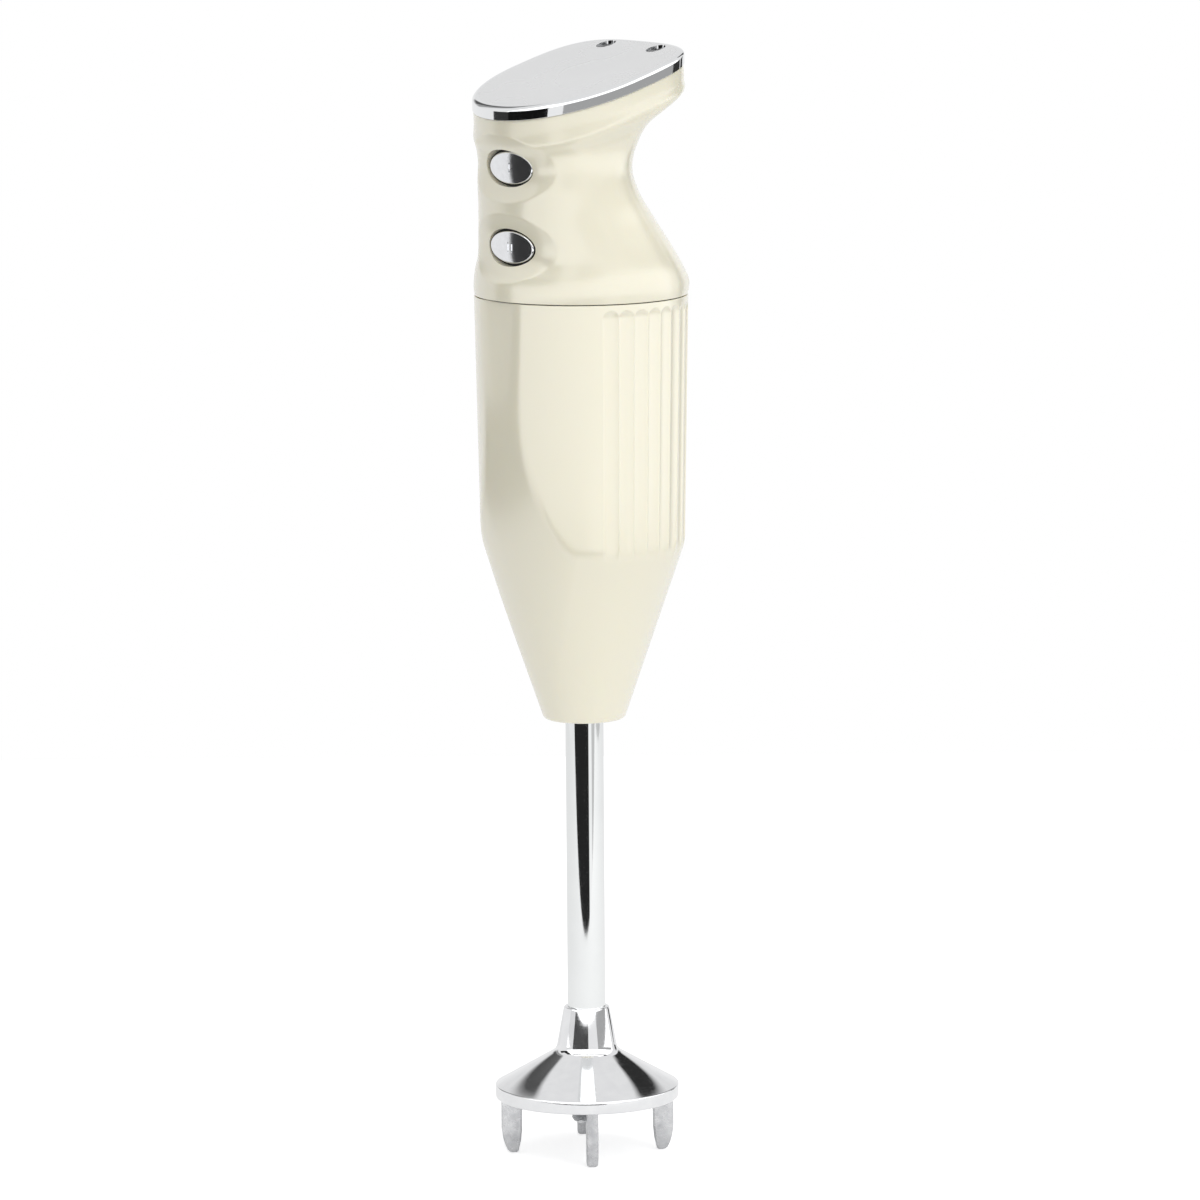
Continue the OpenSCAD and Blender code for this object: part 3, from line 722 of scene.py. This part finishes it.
def guard():
    bore = TUBE_R + 0.03
    z0 = tube_lo.z
    low, high = RIM_Z
    inside = [(3.6, 23), (7.9, 23), (8, 23.1), (8, 30.4), (8.4, 30.4), (26.2, 20.7), (26.6, 19.9), (26.6, low)]
    lower_edge = [(BELL_R - 0.55 * (1 - math.sin(a)), low + 0.55 * (1 - math.cos(a)))
                  for a in (0, 0.4, 0.8, 1.2, math.pi / 2)]
    upper_edge = [(BELL_R - 0.35 * (1 - math.cos(a)), high - 0.35 * (1 - math.sin(a)))
                  for a in (0, 0.5, 1.0, math.pi / 2)]
    neck = [(10.9, 31.3), (10.25, 31.7), (9.75, 32.3), (9.4, 33.0), (9.15, 34), (7.12, COLLAR_Z - 0.75),
            (6.95, COLLAR_Z - 0.25), (6.5, COLLAR_Z)]
    socket = [(bore, COLLAR_Z), (bore, z0), (4.9, z0), (4.9, z0 - 4.5), (3.6, z0 - 4.5)]
    profile = inside + lower_edge + upper_edge + neck + socket
    ob = mesh_object("bell", *turned(profile, 192))
    for i in range(4):
        ob = combine(ob, guard_leg(LEG_TURN + 90 * i), "UNION")
    piece(ob, "handle", "guard_metal", ["guard"], 32)
    ob.data.materials.append(LEG_METAL)
    for face in ob.data.polygons:
        place = face.center / MM
        if place.z < RIM_Z[0] - 0.05 and 19 < place.xy.length < BELL_R - 1.4:
            face.material_index = 1


def blade_bar(turn, bends):
    """A ground bar with both tips bent. bends are the tips' angles."""
    t, flat_r, reach = BLADE_T, BLADE_FLAT, 7.4
    z = hub_lo.z + 2 + t / 2
    ground = 1.3                                         # width of the ground edge

    def section(x, half, thick, lift, lean):
        edge = 0.28 * thick
        flat = max(0.3, half - ground)
        pts = [(-half, -edge), (-flat, -thick), (flat, -thick), (half, -edge), (half, edge), (flat, thick),
               (-flat, thick), (-half, edge)]
        return [point(x - w * math.sin(lean), y, z + lift + w * math.cos(lean)) for y, w in pts]

    rings = []
    for side, bend in ((-1, bends[0]), (1, bends[1])):
        a = math.radians(bend)
        part = [section(side * flat_r * 0.98, 3.4, t / 2, 0, side * a / 2)]
        for f, half in ((0.12, 3.2), (0.55, 3.1), (0.85, 2.1), (0.97, 1.0)):
            away, lift = flat_r + f * reach * math.cos(a), f * reach * math.sin(a)
            part.append(section(side * away, half, 0.48, lift, side * a))
        rings = part[::-1] + [section(0, 3.4, t / 2, 0, 0)] if side < 0 else rings + part
    ob = mesh_object("bar", *capped(rings), 20)
    ob.data.transform(Matrix.Rotation(math.radians(turn), 4, "Z"))
    return ob


def blade():
    ob = combine(blade_bar(45, (32, 32)), blade_bar(135, (-14, -14)), "UNION")
    piece(ob, "blade_unit", "blade_steel", ["blade"], 20)


# ---- studio

def side(turn):
    """A level direction, by its angle to the right of the camera's."""
    a = math.radians(CAMERA_TURN + turn)
    return Vector((math.sin(a), -math.cos(a), 0))


def camera():
    distance, height = 2.3, 0.53
    aim = 0.00505 * side(90) + Vector((0, 0, 0.1721))
    roll = math.radians(0.42)
    place = side(0) * distance + Vector((0, 0, height))
    ahead = (aim - place).normalized()
    right = ahead.cross(Vector((0, 0, 1))).normalized()
    up = right.cross(ahead)
    right, up = math.cos(roll) * right - math.sin(roll) * up, math.sin(roll) * right + math.cos(roll) * up
    data = bpy.data.cameras.new("camera")
    data.lens = 228.3
    data.sensor_width = 36
    data.clip_end = 30
    ob = bpy.data.objects.new("camera", data)
    ob.matrix_world = Matrix((right, up, -ahead)).transposed().to_4x4()
    ob.location = place
    bpy.context.scene.collection.objects.link(ob)
    bpy.context.scene.camera = ob


def ramp(tree, stops):
    """Grey levels by angle to the right of the camera's direction, -180 to 180."""
    node = tree.nodes.new("ShaderNodeValToRGB")
    elements = node.color_ramp.elements
    while len(elements) > 1:
        elements.remove(elements[-1])
    for i, (angle, level) in enumerate(stops):
        e = elements[0] if i == 0 else elements.new((angle + 180) / 360)
        e.position = (angle + 180) / 360
        e.color = (level, level, level, 1)
    return node


# what the polished parts reflect low down and higher up: (angle to the right of the camera, grey level)
LOW = [(-180, 0.92), (-66, 0.92), (-62, 0.02), (22, 0.02), (25, 1.0), (41, 1.0), (44, 0.6), (112, 0.6),
       (116, 0.9), (128, 0.9), (130, 0.03), (140, 0.03), (143, 0.95), (180, 0.92)]
HIGH = [(-180, 0.82), (-161, 0.82), (-158, 0.08), (-147, 0.14), (-145, 0.55), (-143, 0.3), (-136, 0.34),
        (-133, 0.8), (-122, 0.9), (146, 0.9), (149, 0.03), (159, 0.03), (161, 0.82), (180, 0.82)]


def mix(tree, factor, a, b):
    node = tree.nodes.new("ShaderNodeMix")
    node.data_type = "RGBA"
    for socket, value in (("Factor", factor), ("A", a), ("B", b)):
        if isinstance(value, (int, float)):
            node.inputs[socket].default_value = value if socket == "Factor" else (value, value, value, 1)
        else:
            tree.links.new(value, node.inputs[socket])
    return node.outputs["Result"]


def between(tree, value, a, b, low=0.0, high=1.0):
    node = tree.nodes.new("ShaderNodeMapRange")
    for socket, number in (("From Min", a), ("From Max", b), ("To Min", low), ("To Max", high)):
        node.inputs[socket].default_value = number
    tree.links.new(value, node.inputs["Value"])
    return node.outputs["Result"]


def world():
    """A white tent with dark gaps: what the polished parts reflect, and a soft sky for the rest."""
    w = bpy.data.worlds.new("tent")
    bpy.context.scene.world = w
    w.use_nodes = True
    w.cycles.sampling_method = "NONE"                    # rays tell gloss from diffuse light
    tree = w.node_tree
    coords = tree.nodes.new("ShaderNodeTexCoord").outputs["Generated"]

    def along(direction):
        node = tree.nodes.new("ShaderNodeVectorMath")
        node.operation = "DOT_PRODUCT"
        node.inputs[1].default_value = direction
        tree.links.new(coords, node.inputs[0])
        return node.outputs["Value"]

    angle = tree.nodes.new("ShaderNodeMath")
    angle.operation = "ARCTAN2"
    tree.links.new(along(side(90)), angle.inputs[0])
    tree.links.new(along(side(0)), angle.inputs[1])
    around = between(tree, angle.outputs["Value"], -math.pi, math.pi)
    height = along((0, 0, 1))
    bands = []
    for stops in (LOW, HIGH):
        node = ramp(tree, stops)
        tree.links.new(around, node.inputs["Fac"])
        bands.append(node.outputs["Color"])
    gloss = mix(tree, between(tree, height, 0.14, 0.34), bands[0], bands[1])
    gloss = mix(tree, between(tree, height, 0.71, 0.75), gloss, 0.86)
    sky = mix(tree, between(tree, height, -0.3, 0.9), 0.4, 0.7)
    path = tree.nodes.new("ShaderNodeLightPath")
    light = mix(tree, path.outputs["Is Diffuse Ray"], gloss, sky)
    seen = mix(tree, path.outputs["Is Camera Ray"], light, 1.0)
    background = tree.nodes["Background"]
    tree.links.new(seen, background.inputs["Color"])


def floor():
    """A white table with a straight front edge, which ends the dark streak down the shaft."""
    front, back, half, below = 0.35, 0.7, 0.75, Vector((0, 0, -0.0002))
    corners = ((front, -half), (front, half), (-back, half), (-back, -half))
    rim = [side(0) * d + side(90) * w + below for d, w in corners]
    me = bpy.data.meshes.new("table")
    me.from_pydata([tuple(p) for p in rim], [], [(0, 1, 2, 3)])
    ob = bpy.data.objects.new("table", me)
    bpy.context.scene.collection.objects.link(ob)
    m = bpy.data.materials.new("table")
    m.use_nodes = True
    tree = m.node_tree
    shader = tree.nodes["Principled BSDF"]
    shader.inputs["Base Color"].default_value = (0.8, 0.8, 0.8, 1)
    shader.inputs["Roughness"].default_value = 0.9
    shader.inputs["Specular IOR Level"].default_value = 0.0
    shader.inputs["Emission Color"].default_value = (1, 1, 1, 1)
    path = tree.nodes.new("ShaderNodeLightPath")
    glow = between(tree, path.outputs["Is Camera Ray"], 0, 1, 0.22, 0.6)
    tree.links.new(glow, shader.inputs["Emission Strength"])
    m.cycles.emission_sampling = "NONE"
    me.materials.append(m)


def card(name, turns, heights, level, distance):
    """A curved card, level bright, that only reflections see."""
    n = 12
    ways = [side(turns[0] + (turns[1] - turns[0]) * k / n) for k in range(n + 1)]
    rows = [[way * distance + Vector((0, 0, z)) for way in ways] for z in heights]
    faces = [(k, k + 1, n + k + 2, n + k + 1) for k in range(n)]
    me = bpy.data.meshes.new(name)
    me.from_pydata([tuple(p) for row in rows for p in row], [], faces)
    ob = bpy.data.objects.new(name, me)
    bpy.context.scene.collection.objects.link(ob)
    m = bpy.data.materials.new(name)
    m.use_nodes = True
    shader = m.node_tree.nodes["Principled BSDF"]
    shader.inputs["Base Color"].default_value = (0.01, 0.01, 0.01, 1)
    shader.inputs["Specular IOR Level"].default_value = 0
    shader.inputs["Emission Color"].default_value = (1, 1, 1, 1)
    shader.inputs["Emission Strength"].default_value = level
    m.cycles.emission_sampling = "NONE"
    me.materials.append(m)
    ob.visible_camera = ob.visible_diffuse = ob.visible_shadow = False


def area_light(name, turn, height, distance, size, watts):
    data = bpy.data.lights.new(name, "AREA")
    data.shape = "RECTANGLE"
    data.size, data.size_y = size
    data.energy = watts
    ob = bpy.data.objects.new(name, data)
    place = side(turn) * distance + Vector((0, 0, height))
    ob.location = place
    ob.rotation_euler = (Vector((0, 0, 0.2)) - place).to_track_quat("-Z", "Y").to_euler()
    ob.visible_glossy = False
    bpy.context.scene.collection.objects.link(ob)


NECK = (0.082, 0.136)                      # heights of the cards for the bell's neck
BAND = (0.297, 0.37)                       # and for the plate's rim

# name, from and to in degrees to the right of the camera, heights, level and distance from the axis. They
# were placed by trial for the camera's side, so other sides reflect them differently.
CARDS = [
    ("strip_card", (-118, -80), (0.13, 0.2), 0.0, 0.25),
    ("button_card", (-98, -76), (0.2, 0.345), 0.03, 0.25),
    ("neck_left", (-84, -56), NECK, 0.8, 0.35),
    ("neck_dark", (-56, 6), NECK, 0.07, 0.35),
    ("neck_light", (6, 44), NECK, 0.9, 0.35),
    ("neck_grey", (44, 105), NECK, 0.42, 0.35),
    ("body_card", (-84, 112), (0, 1.3), 1.7, 0.95),
    ("head_card", (-84, 112), (0.5, 1.4), 1.7, 0.5),
    ("band_dark", (-76, -27), BAND, 0.0, 0.2),
    ("band_light", (-27, -10), BAND, 0.95, 0.2),
    ("band_grey", (-10, 97), BAND, 0.4, 0.2),
    ("band_tail", (97, 118), BAND, 0.03, 0.2),
]


def studio():
    """The camera, the table and every light."""
    camera()
    world()
    floor()
    for values in CARDS:
        card(*values)
    area_light("key", 30, 0.75, 1.3, (0.8, 1.1), 6.4)
    area_light("fill", -35, 0.6, 1.3, (0.6, 1.0), 1.1)
    area_light("top", 60, 1.5, 0.6, (1.0, 1.0), 5)
    bpy.context.scene.view_settings.view_transform = "Standard"


paint_frame()
motor_housing()
head_housing()
top_plate()
button("upper_key", "upper_button", "upper_push", BUTTON_ZS[0], [0])
button("lower_key", "lower_button", "lower_push", BUTTON_ZS[1], [-MARK_GAP, MARK_GAP])
shaft_tube()
guard()
blade()
studio()
